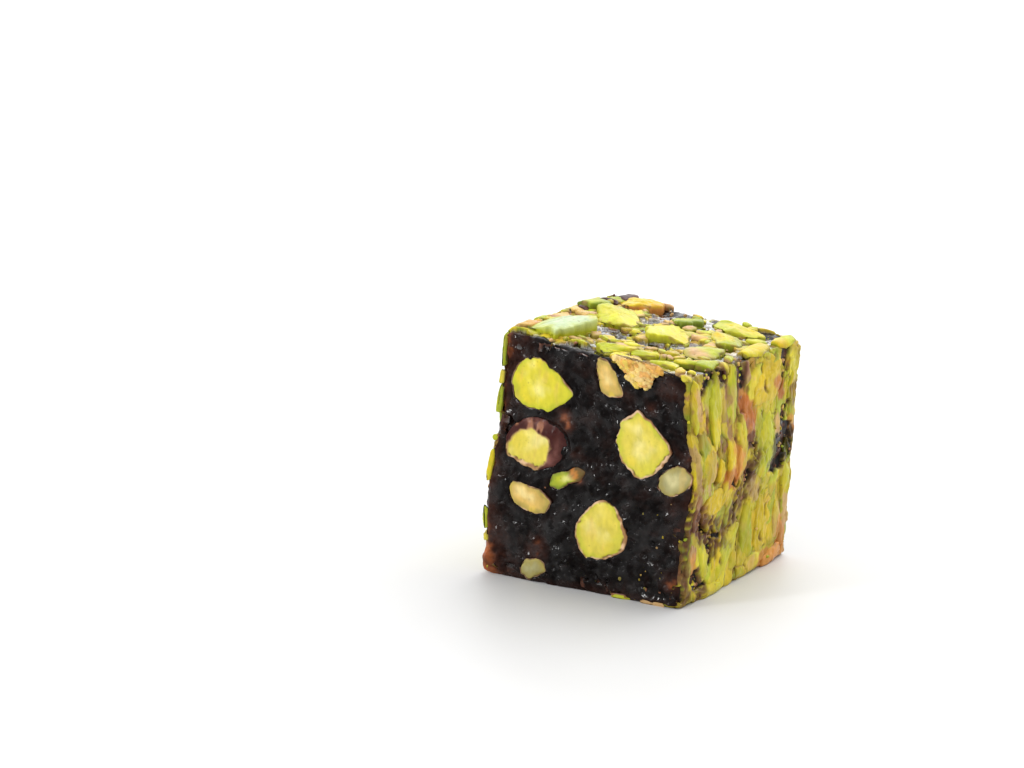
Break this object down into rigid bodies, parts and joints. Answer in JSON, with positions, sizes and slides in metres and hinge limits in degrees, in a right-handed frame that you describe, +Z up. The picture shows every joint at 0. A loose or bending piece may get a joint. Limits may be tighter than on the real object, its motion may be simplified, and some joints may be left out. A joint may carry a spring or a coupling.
{
  "type": "turkish delight",
  "caption": "Cube of dark fruit jelly studded with whole pistachios, with cut faces at front and back and a pressed coat of pistachio slivers on its other sides.",
  "frame": {"origin": "middle of the flat base, on the surface it stands on", "axes": "+Z up; the front cut face looks towards -Y and the back cut face towards +Y; the coated right side looks towards +X"},
  "size_m": [0.0344, 0.0334, 0.0362],
  "materials": {
    "jelly": "near-black brown fruit jelly, moist and glossy, warmer red-brown where it is thin",
    "nut_coat": "bed of dark jelly set with small slivers, chips and crumbs of pistachio",
    "cut_nut": "cut pistachio flesh, yellow-green and waxy, with a thin tan or purple skin round it",
    "green_sliver": "green outer flesh of pistachio kernels, satin, mottled",
    "yellow_sliver": "yellow split flesh of pistachio kernels, satin, with green rims",
    "roast_nut": "tan to orange roasted nut, dull and crumbly"
  },
  "bodies": {
    "root": {"jelly": "jelly", "nut_coat": "nut_coat", "nut_front_big": "cut_nut", "nut_front_skinned": "cut_nut", "nut_front_right": "cut_nut", "nut_front_middle": "cut_nut", "nut_front_lens": "roast_nut", "nut_front_round": "cut_nut", "nut_front_twist": "cut_nut", "nut_front_low": "cut_nut", "nut_front_wedge": "roast_nut", "nut_front_chunk": "roast_nut", "nut_back_high": "cut_nut", "nut_back_right": "cut_nut", "nut_back_middle": "cut_nut", "nut_back_side": "cut_nut", "nut_back_low": "cut_nut", "nut_back_foot": "cut_nut", "nut_back_round": "cut_nut", "sliver_right_edge": "yellow_sliver", "sliver_right_tall": "green_sliver", "sliver_right_strip": "green_sliver", "sliver_right_tan": "yellow_sliver", "sliver_right_finger": "yellow_sliver", "sliver_right_thin": "yellow_sliver", "sliver_right_slim": "green_sliver", "sliver_right_ember": "roast_nut", "sliver_right_broad": "yellow_sliver", "sliver_right_leaf": "green_sliver", "sliver_right_rear": "yellow_sliver", "sliver_right_gold": "yellow_sliver", "sliver_right_husk": "roast_nut", "sliver_right_bark": "roast_nut", "sliver_right_lime": "green_sliver", "sliver_right_slant": "yellow_sliver", "sliver_right_green": "green_sliver", "sliver_right_low": "yellow_sliver", "sliver_right_spur": "yellow_sliver", "sliver_right_pale": "green_sliver", "sliver_right_foot": "green_sliver", "sliver_right_rust": "roast_nut", "sliver_top_pale": "green_sliver", "sliver_top_lemon": "yellow_sliver", "sliver_top_orange": "roast_nut", "sliver_top_middle": "yellow_sliver", "sliver_top_rear": "yellow_sliver", "sliver_top_left": "green_sliver", "sliver_top_front": "yellow_sliver", "sliver_top_right": "green_sliver", "sliver_top_back": "green_sliver", "sliver_top_side": "green_sliver", "sliver_left_front": "yellow_sliver", "sliver_left_high": "green_sliver", "sliver_left_gold": "yellow_sliver", "sliver_left_middle": "yellow_sliver", "sliver_left_tan": "yellow_sliver", "sliver_left_rear": "yellow_sliver", "sliver_left_foot": "green_sliver", "sliver_left_low": "yellow_sliver", "sliver_left_heel": "green_sliver"}
  },
  "joints": []
}
